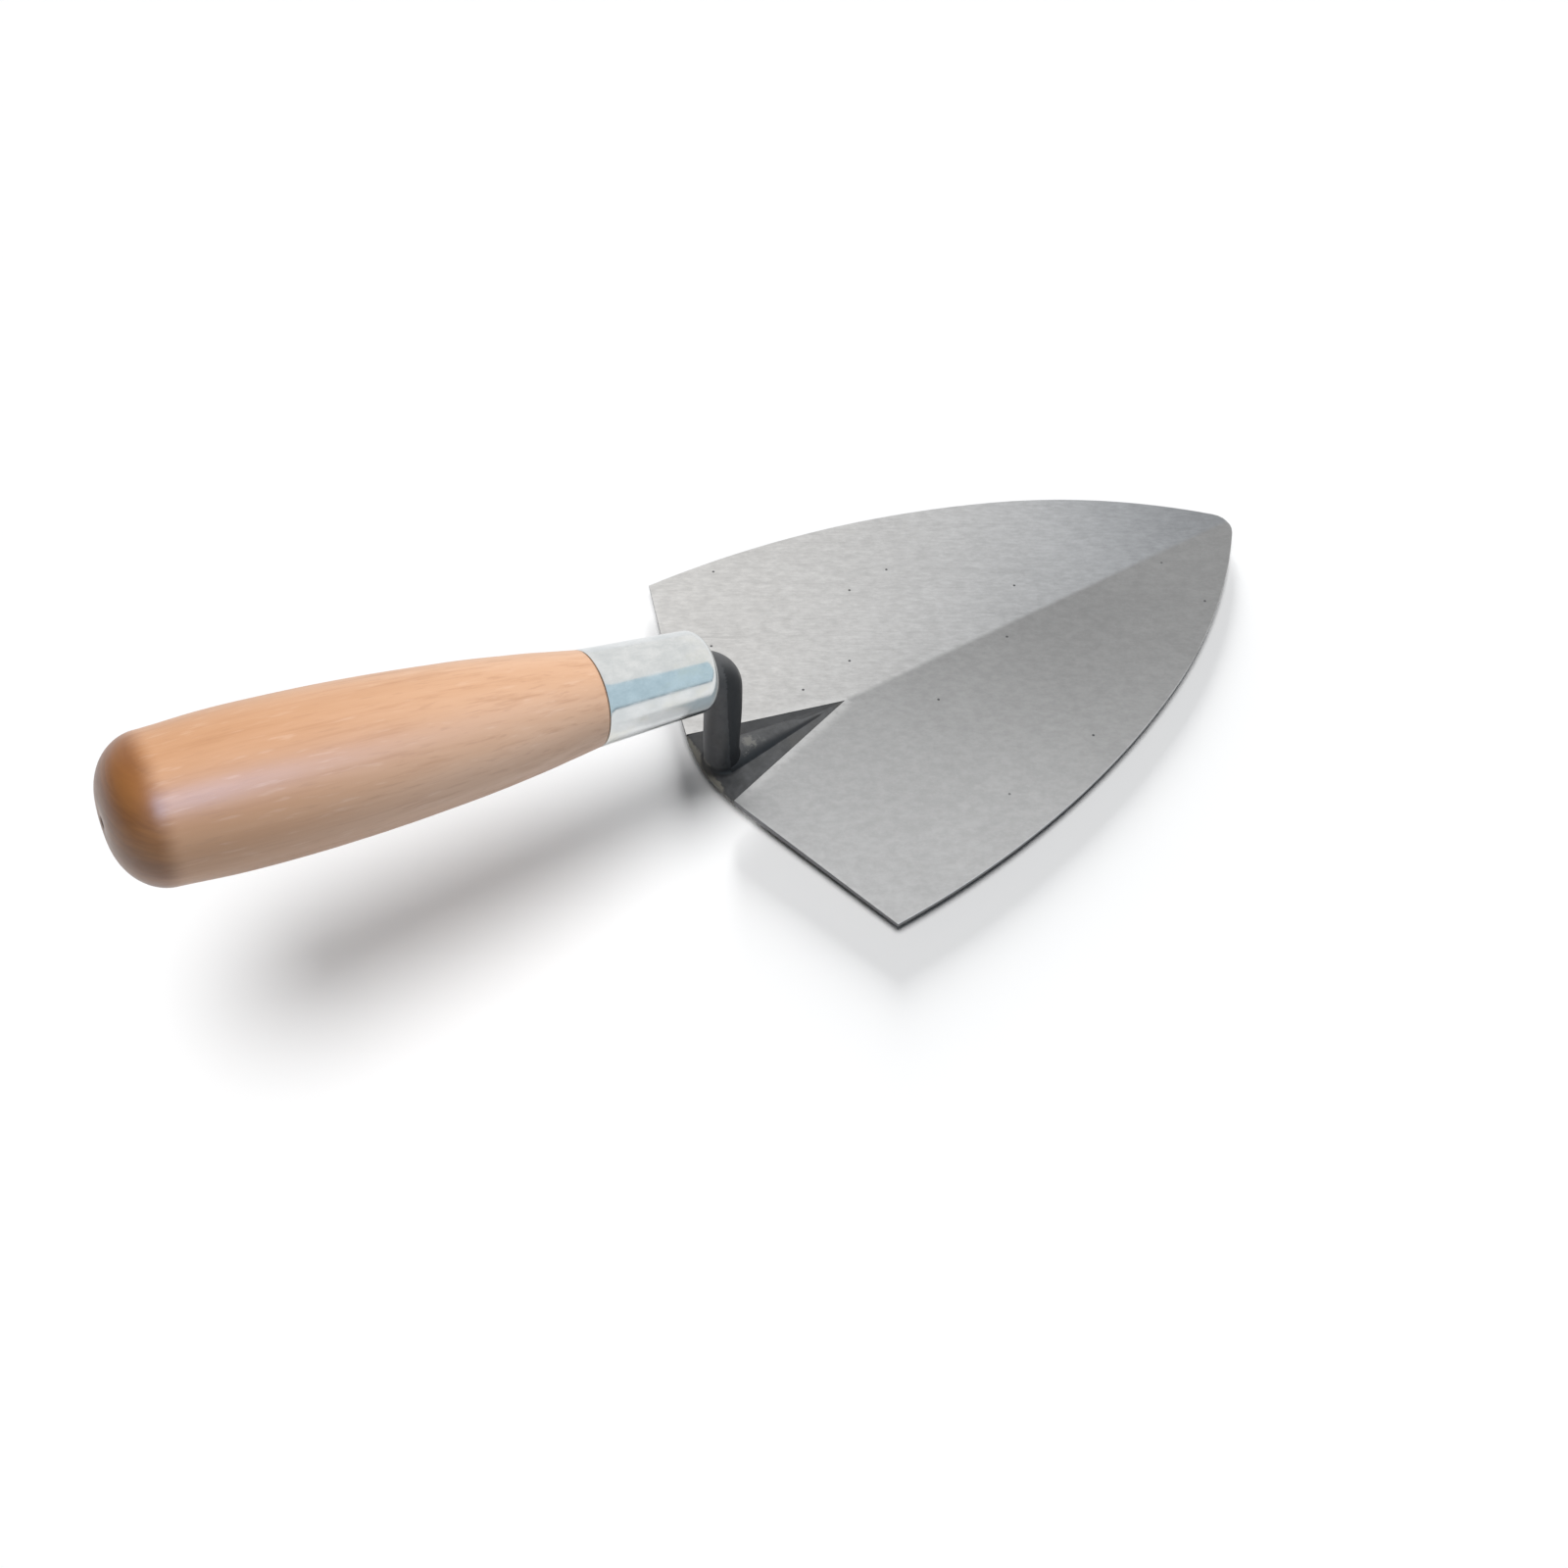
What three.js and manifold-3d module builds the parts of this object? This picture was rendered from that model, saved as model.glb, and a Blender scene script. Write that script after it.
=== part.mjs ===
// A brick trowel with a short, wide blade: a ground steel blade, a forged shank with
// its root and tang, a drawn steel ferrule and a turned wood handle.
// Millimetres, +Z up. The blade's underside lies on z = 0, its tip points along +X and
// the trowel is symmetric about the plane y = 0. While the pieces are drawn, x = 0 is
// the point where the two heel edges would meet; the last lines move the finished
// group so that the origin is under the middle of the whole tool.
import * as THREE from 'three';
import { mergeVertices } from 'three/addons/utils/BufferGeometryUtils.js';
import Module from 'manifold-3d';

const wasm = await Module();
wasm.setup();

// Blade, seen from above
const bladeWidth = 146;
const heelSweep = 23.3; // how far the two wide corners stand ahead of the heel's point
const heelRadius = 60; // rounding of the heel's point
const sideRadius = 300; // each side is a wide arc from the corner
const sideCentreX = 20;
const frontRadius = 185.9; // and a tighter one in front of frontStart
const frontStart = 140;
const tipRadius = 7.4;

// Blade thickness: two ground planes that meet in a ridge along the middle
const rootThickness = 2.7; // on the ridge, at the heel
const cornerThickness = 1.5;
const tipThickness = 1.3;

// Root of the shank: a triangle let into the heel of the blade
const rootLength = 52;
const rootHalfAngle = THREE.MathUtils.degToRad(16.5);
const rootOverrun = 9; // how far past the heel the triangle is drawn before it is trimmed
const spurLength = 34; // low ridge that runs from the shank towards the root's point
const spurHalfWidth = 5.6;
const spurTipHalfWidth = 0.6;
const spurFlatness = 0.45; // its height as a share of its half width
const bevelStart = new THREE.Vector3(2.6, 0, 0.5); // flat ground off the heel's point,
const bevelEnd = new THREE.Vector3(5.2, 0, 2.7); // from its low to its high edge

// Shank: a round bar that rises from the heel and bends back into the ferrule
const shankRadius = 5.7;
const shankFootX = 8.9;
const shankTopX = 10.7;
const shankEase = 0.4; // share of the bar's height over which each end stays upright
const bendRadius = 12;
const flareRadius = 7.6; // forged fillet around the foot of the bar
const flareHeight = 6;

// Handle: its axis starts at the middle of the ferrule's front face
const gripStart = new THREE.Vector3(4.9, 0, 46.1);
const gripRise = THREE.MathUtils.degToRad(14.8);

// Tang: a tapered square spike inside the handle
const tangStart = 1; // along the handle's axis, inside the end of the bar
const tangEnd = 100;
const tangRadius = 5.6; // half of the diagonal at the ferrule
const tangTipRadius = 2.2;
const boreEndGap = 1.2; // free depth of the bore past the tang's tip

// Ferrule
const ferruleLength = 34.5;
const ferruleRearRadius = 12.9;
const ferruleFrontRadius = 11.2; // where its sides would meet its front face
const ferruleShoulder = 4; // rounding between the side and the front face
const ferruleWall = 1;
const ferruleHoleRadius = 6.6;

// Wood, as stations [distance along the axis, radius]
const tenonStart = 5.3;
const tenonChamfer = 1;
const handleEnd = 152.5;
const capStart = 140.9;
const handleBelly = [
  [52, 15.4],
  [70, 17.3],
  [96, 18.9],
  [122, 19.2],
];
const capStartRadius = 18;
const buttFlatRadius = 3.9;
const centreMarkRadius = 1.4; // the dimple that the lathe's centre leaves
const centreMarkDepth = 1.3;

const gap = 0.3; // between pieces that touch on the bench
const rootGap = 0.15; // along the fitted seam between blade and root

// Facets
const turnedFacets = 48; // around the ferrule and the handle
const coneFacets = 24; // around the spur and the fillet
const barFacets = 10; // around half of the shank's bar
const barSteps = 28; // along the bar
const bladeArcSteps = 24; // along each arc of the blade's outline
const ferruleArcSteps = 3;
const handleCurveSteps = 4;

const up = new THREE.Vector3(0, 0, 1);
const blankHeight = 2 * rootThickness; // before the two faces are ground
const sideDrop = Math.sqrt(sideRadius ** 2 - (heelSweep - sideCentreX) ** 2);
const sideCentre = new THREE.Vector2(sideCentreX, bladeWidth / 2 - sideDrop);
const frontAngle = Math.acos((frontStart - sideCentreX) / sideRadius);
const frontCentre = new THREE.Vector2(Math.cos(frontAngle), Math.sin(frontAngle))
  .multiplyScalar(sideRadius - frontRadius)
  .add(sideCentre);
const tipCentreX = frontCentre.x + Math.sqrt((frontRadius - tipRadius) ** 2 - frontCentre.y ** 2);

// Positions on the handle's axis: the local Y axis runs back and up along the handle
const gripRotation = new THREE.Euler(0, gripRise, Math.PI / 2, 'YZX');
const gripMatrix = new THREE.Matrix4().compose(
  gripStart,
  new THREE.Quaternion().setFromEuler(gripRotation),
  new THREE.Vector3(1, 1, 1),
);

// A solid from a closed geometry, which loses its normals and texture coordinates
function solidOf(geometry) {
  geometry.deleteAttribute('normal');
  geometry.deleteAttribute('uv');
  const merged = mergeVertices(geometry);
  return new wasm.Manifold(new wasm.Mesh({
    numProp: 3,
    vertProperties: new Float32Array(merged.attributes.position.array),
    triVerts: new Uint32Array(merged.index.array),
  }));
}

// The faceted surface of a solid
function geometryOf(solid) {
  const mesh = solid.getMesh();
  const geometry = new THREE.BufferGeometry();
  geometry.setAttribute('position', new THREE.BufferAttribute(mesh.vertProperties, 3));
  geometry.setIndex(new THREE.BufferAttribute(mesh.triVerts, 1));
  geometry.computeVertexNormals();
  return geometry;
}

// Outline of the whole blade, root included
function bladeOutline() {
  const cornerAngle = Math.acos((heelSweep - sideCentre.x) / sideRadius);
  const tipAngle = Math.atan2(-frontCentre.y, tipCentreX - frontCentre.x);
  const heelAngle = Math.atan2(heelSweep, bladeWidth / 2);
  const heelCentreX = heelRadius / Math.cos(heelAngle);

  const outline = new THREE.Shape();
  outline.absarc(sideCentre.x, sideCentre.y, sideRadius, cornerAngle, frontAngle, true);
  outline.absarc(frontCentre.x, frontCentre.y, frontRadius, frontAngle, tipAngle, true);
  outline.absarc(tipCentreX, 0, tipRadius, tipAngle, -tipAngle, true);
  outline.absarc(frontCentre.x, -frontCentre.y, frontRadius, -tipAngle, -frontAngle, true);
  outline.absarc(sideCentre.x, -sideCentre.y, sideRadius, -frontAngle, -cornerAngle, true);
  outline.absarc(heelCentreX, 0, heelRadius, Math.PI + heelAngle, Math.PI - heelAngle, true);
  outline.closePath();
  return outline;
}

// A prism that stands on z = 0
function prism(outline, height) {
  return solidOf(new THREE.ExtrudeGeometry(outline, {
    depth: height,
    curveSegments: bladeArcSteps,
    bevelEnabled: false,
  }));
}

// A block that stands on the plane through three points
function blockAbove(a, b, c) {
  const normal = new THREE.Plane().setFromCoplanarPoints(a, b, c).normal;
  if (normal.z < 0) normal.negate();
  const size = 4 * bladeWidth;
  const block = new THREE.BoxGeometry(size, size, size);
  block.translate(0, 0, size / 2);
  block.applyQuaternion(new THREE.Quaternion().setFromUnitVectors(up, normal));
  block.translate(a.x, a.y, a.z);
  return solidOf(block);
}

// The forged blank: the outline with its two ground faces
function groundBlank() {
  const ridge = new THREE.Vector3(0, 0, rootThickness);
  const tip = new THREE.Vector3(tipCentreX + tipRadius, 0, tipThickness);
  let blank = prism(bladeOutline(), blankHeight);
  for (const side of [-1, 1]) {
    const corner = new THREE.Vector3(heelSweep, side * bladeWidth / 2, cornerThickness);
    blank = blank.subtract(blockAbove(ridge, tip, corner));
  }
  return blank;
}

// The triangle that the root fills, moved in by a clearance along its two sides
function rootTriangle(clearance) {
  const point = rootLength - clearance / Math.sin(rootHalfAngle);
  const back = -rootOverrun;
  const halfWidth = (point - back) * Math.tan(rootHalfAngle);
  const outline = new THREE.Shape();
  outline.moveTo(point, 0);
  outline.lineTo(back, halfWidth);
  outline.lineTo(back, -halfWidth);
  outline.closePath();
  return outline;
}

// The blade without its root
function blade() {
  const notch = prism(rootTriangle(0), blankHeight);
  return groundBlank().subtract(notch);
}

// Middle line of the bar, from inside the root to the ferrule's front face
function shankLine() {
  const axis = new THREE.Vector3(0, 1, 0).transformDirection(gripMatrix);
  const turn = Math.PI / 2 - gripRise;
  const pull = (4 / 3) * Math.tan(turn / 4) * bendRadius; // makes a Bezier curve a round bend
  const reach = (shankTopX - gripStart.x - bendRadius * (1 - Math.sin(gripRise))) / Math.cos(gripRise);
  const bendEnd = gripStart.clone().addScaledVector(axis, -reach);
  const bendStart = new THREE.Vector3(shankTopX, 0, bendEnd.z - bendRadius * Math.cos(gripRise));
  const foot = new THREE.Vector3(shankFootX, 0, rootThickness / 2);
  const ease = (bendStart.z - foot.z) * shankEase;

  const line = new THREE.CurvePath();
  line.add(new THREE.CubicBezierCurve3(
    foot,
    foot.clone().addScaledVector(up, ease),
    bendStart.clone().addScaledVector(up, -ease),
    bendStart,
  ));
  line.add(new THREE.CubicBezierCurve3(
    bendStart,
    bendStart.clone().addScaledVector(up, pull),
    bendEnd.clone().addScaledVector(axis, -pull),
    bendEnd,
  ));
  return line;
}

// The round bar of the shank
function bar() {
  const section = new THREE.Shape();
  section.absarc(0, 0, shankRadius, 0, 2 * Math.PI);
  return solidOf(new THREE.ExtrudeGeometry(section, {
    steps: barSteps,
    curveSegments: barFacets,
    bevelEnabled: false,
    extrudePath: shankLine(),
  }));
}

// A square spike along the handle's axis; with clearances, it is the bore around the tang
function spike(clearance, endClearance) {
  const end = tangEnd + endClearance;
  const taper = new THREE.CylinderGeometry(
    tangTipRadius + clearance,
    tangRadius + clearance,
    end - tangStart,
    4,
  );
  taper.rotateY(Math.PI / 4);
  taper.translate(0, (tangStart + end) / 2, 0);
  return taper;
}

// The root: a plate with a low spur and a fillet around the foot of the bar
function root() {
  const bevelSide = new THREE.Vector3(0, 1, 0).add(bevelStart);
  const plate = groundBlank()
    .intersect(prism(rootTriangle(rootGap), blankHeight))
    .subtract(blockAbove(bevelStart, bevelEnd, bevelSide));

  const spurCone = new THREE.CylinderGeometry(spurTipHalfWidth, spurHalfWidth, spurLength, coneFacets);
  spurCone.rotateZ(-Math.PI / 2);
  spurCone.scale(1, 1, spurFlatness);
  spurCone.translate(shankFootX + spurLength / 2, 0, rootThickness - spurTipHalfWidth * spurFlatness);

  const flareCone = new THREE.CylinderGeometry(shankRadius, flareRadius, flareHeight, coneFacets);
  flareCone.rotateX(Math.PI / 2);
  flareCone.translate(shankFootX, 0, rootThickness / 2 + flareHeight / 2);

  const insideOutline = prism(bladeOutline(), rootThickness + flareHeight);
  const insideRoot = prism(rootTriangle(rootGap), rootThickness + flareHeight);
  const raised = solidOf(spurCone).add(solidOf(flareCone));
  return plate.add(raised.intersect(insideOutline).intersect(insideRoot));
}

// Root, bar and tang are one forging
function shank() {
  const tang = spike(0, 0).applyMatrix4(gripMatrix);
  return root().add(bar()).add(solidOf(tang));
}

// A drawn cup: its half section is a closed loop of radius and distance along the axis
function ferrule() {
  const taper = (ferruleRearRadius - ferruleFrontRadius) / ferruleLength;
  const shoulderRadius = ferruleFrontRadius + taper * ferruleShoulder;
  const shoulderCentre = shoulderRadius - ferruleShoulder;
  const innerShoulder = ferruleShoulder - ferruleWall;

  const section = new THREE.Path();
  section.moveTo(ferruleHoleRadius, 0);
  section.lineTo(shoulderCentre, 0);
  section.absarc(shoulderCentre, ferruleShoulder, ferruleShoulder, -Math.PI / 2, 0, false);
  section.lineTo(ferruleRearRadius, ferruleLength);
  section.lineTo(ferruleRearRadius - ferruleWall, ferruleLength);
  section.absarc(shoulderCentre, ferruleShoulder, innerShoulder, 0, -Math.PI / 2, true);
  section.lineTo(ferruleHoleRadius, ferruleWall);
  section.lineTo(ferruleHoleRadius, 0);
  return solidOf(new THREE.LatheGeometry(section.getPoints(ferruleArcSteps), turnedFacets));
}

// The wood: a tenon inside the ferrule, the swelling grip and the domed butt
function turnedWood() {
  const tenonFrontRadius = ferruleFrontRadius - ferruleWall - gap;
  const tenonRearRadius = ferruleRearRadius - ferruleWall - gap;
  const bodyStart = ferruleLength + gap;
  const belly = handleBelly.map(([along, radius]) => new THREE.Vector2(radius, along));

  const profile = new THREE.Path();
  profile.moveTo(0, tenonStart);
  profile.lineTo(tenonFrontRadius - tenonChamfer, tenonStart);
  profile.lineTo(tenonFrontRadius, tenonStart + tenonChamfer);
  profile.lineTo(tenonRearRadius, bodyStart);
  profile.lineTo(ferruleRearRadius, bodyStart);
  profile.splineThru([...belly, new THREE.Vector2(capStartRadius, capStart)]);
  profile.absellipse(
    buttFlatRadius, capStart,
    capStartRadius - buttFlatRadius, handleEnd - capStart,
    0, Math.PI / 2, false,
  );
  profile.lineTo(centreMarkRadius, handleEnd);
  profile.lineTo(0, handleEnd - centreMarkDepth);
  return solidOf(new THREE.LatheGeometry(profile.getPoints(handleCurveSteps), turnedFacets));
}

// The wood with the bore for the tang
function handle() {
  return turnedWood().subtract(solidOf(spike(gap, boreEndGap)));
}

// A finished sub-part with its own material
function piece(name, solid, color, roughness, metalness) {
  const material = new THREE.MeshStandardMaterial({ color, roughness, metalness });
  const mesh = new THREE.Mesh(geometryOf(solid), material);
  mesh.name = name;
  return mesh;
}

const grip = new THREE.Group();
grip.position.copy(gripStart);
grip.rotation.copy(gripRotation);
grip.add(piece('ferrule', ferrule(), 0xd4dadb, 0.35, 0.85));
grip.add(piece('handle', handle(), 0xdba877, 0.4, 0));

const trowel = new THREE.Group();
trowel.add(piece('blade', blade(), 0xc4c3c1, 0.38, 0.9));
trowel.add(piece('shank', shank(), 0x3d3e41, 0.5, 0.6));
trowel.add(grip);

const extent = new THREE.Box3().setFromObject(trowel, true);
trowel.position.x = -(extent.min.x + extent.max.x) / 2;

export default trowel;
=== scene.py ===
"""A brick trowel with a ground steel blade, a forged shank, a plated ferrule and a turned wood handle.

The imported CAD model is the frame. Each CAD node is replaced by a finer mesh with rounded edges,
small irregularities and a procedural material. The outsides of the blade, ferrule and handle stay
within 0.2 mm of the CAD. The shank and the notch for its root follow the photo more closely than
the CAD does, and differ from it by up to 1.8 mm around the foot of the bar.
"""
import math

import bmesh
import bpy
from mathutils import Matrix, Vector, kdtree, noise

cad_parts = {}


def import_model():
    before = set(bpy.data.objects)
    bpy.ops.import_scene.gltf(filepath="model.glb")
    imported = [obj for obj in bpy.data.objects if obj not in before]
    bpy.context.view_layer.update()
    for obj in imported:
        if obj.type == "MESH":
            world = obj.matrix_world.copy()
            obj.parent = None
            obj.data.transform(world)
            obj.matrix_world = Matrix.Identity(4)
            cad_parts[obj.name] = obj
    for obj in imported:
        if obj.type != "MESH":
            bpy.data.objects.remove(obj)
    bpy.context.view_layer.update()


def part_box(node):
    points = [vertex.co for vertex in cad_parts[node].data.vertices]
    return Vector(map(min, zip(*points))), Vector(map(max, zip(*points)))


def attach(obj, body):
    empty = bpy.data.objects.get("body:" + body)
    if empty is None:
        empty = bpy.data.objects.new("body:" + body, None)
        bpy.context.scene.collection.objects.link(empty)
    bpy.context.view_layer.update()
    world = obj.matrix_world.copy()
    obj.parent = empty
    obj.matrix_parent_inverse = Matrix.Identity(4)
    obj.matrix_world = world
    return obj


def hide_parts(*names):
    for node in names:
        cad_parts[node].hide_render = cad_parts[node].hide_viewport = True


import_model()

MM = 0.001
SAME_POINT = 1e-7  # metres; points closer than this are one
MERGE_DISTANCE = 2e-6

# Blade, seen from above. x runs from the point where the heel edges would meet to the tip.
BLADE_WIDTH = 145.99 * MM
HEEL_SWEEP = 23.3 * MM
HEEL_RADIUS = 60 * MM
SIDE_RADIUS = 300 * MM  # each side is a wide arc from the corner
SIDE_CENTRE_X = 20 * MM
FRONT_RADIUS = 185.9 * MM  # and a tighter one in front of FRONT_START
FRONT_START = 140 * MM
TIP_RADIUS = 7.4 * MM
ROOT_THICKNESS = 2.7 * MM
CORNER_THICKNESS = 1.5 * MM
TIP_THICKNESS = 1.3 * MM
RIDGE_SOFTNESS = 1.2 * MM  # rounding of the ridge between the two ground faces
EDGE_ROUNDING = 0.16 * MM
SEAM_ROUNDING = 0.04 * MM  # the edges where blade and root meet are ground together
GRIND_WAVE = 0.018 * MM  # unevenness left by the grinding belt
RIM_WEAR_AND_HIGHLIGHT = 0.5 * MM  # width of the bright strip along the outline: edge wear with a painted highlight

# Root of the shank, a triangle let into the heel
ROOT_LENGTH = 52 * MM
ROOT_HALF_ANGLES = {1: math.radians(15.4), -1: math.radians(17.5)}  # on the +Y and the -Y side
ROOT_GAP = 0.06 * MM
ROOT_SINK = 0.08 * MM  # the forged surface lies a little below the ground faces
SPUR_LENGTH = 34 * MM
SPUR_HALF_WIDTH = 6.0 * MM
SPUR_TIP_HALF_WIDTH = 0.8 * MM
SPUR_HEIGHT = 3.4 * MM
BEVEL_LOW = (2.6 * MM, 0.5 * MM)  # the bevel ground off the heel's point: x and height
BEVEL_SLOPE = 0.85

# Shank
BAR_RADIUS = 5.6 * MM
BAR_UNEVENNESS = 0.07 * MM
BAR_FOOT_RADIUS = 5.25 * MM
FOOT_X = 9.2 * MM
TOP_X = 10.7 * MM
BEND_RADIUS = 12 * MM
FILLET_WIDTH = 0.9 * MM
FILLET_HEIGHT = 1.3 * MM
TANG_END = 100 * MM
TANG_RADIUS = 5.6 * MM
TANG_TIP_RADIUS = 2.2 * MM
SCALE_UNEVENNESS = 0.035 * MM  # of the forged surface on the root

# Handle: distances along its axis start at the ferrule's front face
GRIP_START_X = 4.9 * MM
GRIP_HEIGHT = 46.1 * MM
GRIP_RISE = math.radians(14.8)
FERRULE_LENGTH = 34.5 * MM
FERRULE_REAR = 12.9 * MM
FERRULE_FRONT = 11.2 * MM
FERRULE_SHOULDER = 4 * MM
FERRULE_WALL = 1 * MM
FERRULE_HOLE = 6.6 * MM
HANDLE_END = 152.45 * MM
CAP_START = 140.9 * MM
CAP_RADIUS = 18 * MM
BUTT_FLAT = 3.9 * MM
MARK_RADIUS = 1.4 * MM
MARK_DEPTH = 1.3 * MM
HANDLE_GAP = 0.25 * MM  # between the tenon and the ferrule's wall
BORE_GAP = 0.4 * MM  # around the tang
LATHE_SEGMENTS = 144
# The grip's (distance, radius) pairs in millimetres
BELLY = [
    (34.8, 12.85), (43, 14.1), (52, 15.35), (70, 17.25), (96, 18.85), (122, 19.15), (140.9, 18.0),
]


def side_arcs():
    """The arcs from the wide corner to the tip: centre, radius, first and last angle."""
    drop = math.sqrt(SIDE_RADIUS ** 2 - (HEEL_SWEEP - SIDE_CENTRE_X) ** 2)
    side = Vector((SIDE_CENTRE_X, BLADE_WIDTH / 2 - drop))
    corner_angle = math.acos((HEEL_SWEEP - SIDE_CENTRE_X) / SIDE_RADIUS)
    front_angle = math.acos((FRONT_START - SIDE_CENTRE_X) / SIDE_RADIUS)
    outward = Vector((math.cos(front_angle), math.sin(front_angle)))
    front = side + outward * (SIDE_RADIUS - FRONT_RADIUS)
    reach = math.sqrt((FRONT_RADIUS - TIP_RADIUS) ** 2 - front.y ** 2)
    tip_angle = math.atan2(-front.y, reach)
    return [
        (side, SIDE_RADIUS, corner_angle, front_angle),
        (front, FRONT_RADIUS, front_angle, tip_angle),
        (Vector((front.x + reach, 0)), TIP_RADIUS, tip_angle, 0.0),
    ]


def blade_length():
    """Distance from the heel's point to the end of the rounded tip."""
    centre, radius, *_ = side_arcs()[-1]
    return centre.x + radius


HEEL = Vector((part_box("blade")[1][0] - blade_length(), 0, 0))  # the heel's point in the row frame
GRIP_START = HEEL + Vector((GRIP_START_X, 0, GRIP_HEIGHT))
GRIP_AXIS = Vector((-math.cos(GRIP_RISE), 0, math.sin(GRIP_RISE)))
GRIP_UP = Vector((math.sin(GRIP_RISE), 0, math.cos(GRIP_RISE)))


def grip_matrix():
    """Local Z runs back along the handle and local X points up from it."""
    side = GRIP_AXIS.cross(GRIP_UP)
    turned = Matrix((GRIP_UP, side, GRIP_AXIS)).transposed().to_4x4()
    return Matrix.Translation(GRIP_START) @ turned


# ---------------------------------------------------------------- mesh helpers


def mesh_object(name, polygons, crease=180):
    """An object from polygons given as lists of points. Edges that turn more than crease are sharp."""
    mesh = bmesh.new()
    for points in polygons:
        distinct = [p for i, p in enumerate(points) if (p - points[i - 1]).length > SAME_POINT]
        if len(distinct) > 2:
            mesh.faces.new([mesh.verts.new(p) for p in distinct])
    bmesh.ops.remove_doubles(mesh, verts=mesh.verts, dist=MERGE_DISTANCE)
    bmesh.ops.dissolve_degenerate(mesh, edges=mesh.edges, dist=SAME_POINT)
    bmesh.ops.recalc_face_normals(mesh, faces=mesh.faces)
    data = bpy.data.meshes.new(name)
    mesh.to_mesh(data)
    mesh.free()
    data.shade_smooth()
    data.set_sharp_from_angle(angle=math.radians(crease))
    obj = bpy.data.objects.new(name, data)
    bpy.context.scene.collection.objects.link(obj)
    return obj


def mark(obj, name, value_at):
    """Stores a number between 0 and 1 for each point of the mesh, for its material to read."""
    layer = obj.data.attributes.new(name, "FLOAT", "POINT")
    for vertex, entry in zip(obj.data.vertices, layer.data):
        entry.value = min(1.0, max(0.0, value_at(vertex.co)))


def bands(rings, closed=True):
    """Quads between successive rings of points."""
    quads = []
    for near, far in zip(rings, rings[1:]):
        count = len(near)
        for k in range(count if closed else count - 1):
            n = (k + 1) % count
            quads.append([near[k], near[n], far[n], far[k]])
    return quads


def lathe(name, profile, wobble):
    """Turns (radius, distance along) pairs about the handle's axis."""
    place = grip_matrix()
    waves_around, waves_along = 1.7, 60
    fade_radius = 5 * MM
    rings = []
    for radius, height in profile:
        ring = []
        for k in range(LATHE_SEGMENTS):
            angle = 2 * math.pi * k / LATHE_SEGMENTS
            around = Vector((math.cos(angle), math.sin(angle), 0))
            spot = Vector((around.x, around.y, height * waves_along)) * waves_around
            uneven = wobble * noise.noise(spot)
            out = max(0.0, radius + uneven * min(1.0, radius / fade_radius))
            ring.append(place @ (around * out + Vector((0, 0, height))))
        rings.append(ring)
    return mesh_object(name, bands(rings))


def arc(centre, radius, start, end, steps):
    """Points on an arc in a profile plane; angles in degrees."""
    points = []
    for k in range(steps + 1):
        angle = math.radians(start + (end - start) * k / steps)
        points.append((centre[0] + radius * math.cos(angle), centre[1] + radius * math.sin(angle)))
    return points


def smooth_curve(points, steps):
    """Catmull-Rom curve through (along, value) pairs."""
    first = [2 * a - b for a, b in zip(points[0], points[1])]
    last = [2 * a - b for a, b in zip(points[-1], points[-2])]
    padded = [first, *points, last]
    curve = []
    for p0, p1, p2, p3 in zip(padded, padded[1:], padded[2:], padded[3:]):
        for k in range(steps):
            t = k / steps
            curve.append(tuple(
                0.5 * (2 * b + (c - a) * t + (2 * a - 5 * b + 4 * c - d) * t * t
                       + (3 * b - a - 3 * c + d) * t ** 3)
                for a, b, c, d in zip(p0, p1, p2, p3)))
    curve.append(tuple(points[-1]))
    return curve


# ---------------------------------------------------------------- blade


def top_height(x, y):
    """Height of the two ground faces over the flat underside."""
    fall = (ROOT_THICKNESS - TIP_THICKNESS) / blade_length()
    spread = (ROOT_THICKNESS - CORNER_THICKNESS - fall * HEEL_SWEEP) / (BLADE_WIDTH / 2)
    soft_y = math.sqrt(y * y + RIDGE_SOFTNESS ** 2) - RIDGE_SOFTNESS
    return ROOT_THICKNESS - fall * x - spread * soft_y


def heel_arc_x(y):
    """The rounded heel edge at a distance y from the middle."""
    slope = math.atan2(HEEL_SWEEP, BLADE_WIDTH / 2)
    if abs(y) > HEEL_RADIUS * math.sin(slope):
        return abs(y) * math.tan(slope)
    return HEEL_RADIUS / math.cos(slope) - math.sqrt(HEEL_RADIUS ** 2 - y * y)


def root_corner(side):
    """Where one side of the root's triangle meets the heel edge, as if both sides were on +Y."""
    widening = math.tan(ROOT_HALF_ANGLES[side])
    rounds = 20  # each one comes closer to the crossing
    x = 0.0
    for _ in range(rounds):
        x = heel_arc_x((ROOT_LENGTH - x) * widening)
    return Vector((x, (ROOT_LENGTH - x) * widening))


def side_points(steps):
    """The blade's side from its wide corner to the tip, evenly spaced."""
    arcs = side_arcs()
    lengths = [(first - last) * radius for _, radius, first, last in arcs]
    points = []
    for k in range(steps + 1):
        run = sum(lengths) * k / steps
        current = 0
        while current < len(arcs) - 1 and run > lengths[current]:
            run -= lengths[current]
            current += 1
        centre, radius, first, _ = arcs[current]
        angle = first - run / radius
        points.append(centre + radius * Vector((math.cos(angle), math.sin(angle))))
    return points


def middle_points(side, steps, apex_step):
    """The inner edge of one half: along the root to its point, then along the ridge."""
    corner = root_corner(side)
    apex = Vector((ROOT_LENGTH, 0))
    tip = Vector((blade_length(), 0))
    points = [corner.lerp(apex, k / apex_step) for k in range(apex_step)]
    points += [apex.lerp(tip, k / (steps - apex_step)) for k in range(steps - apex_step + 1)]
    return points


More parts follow.
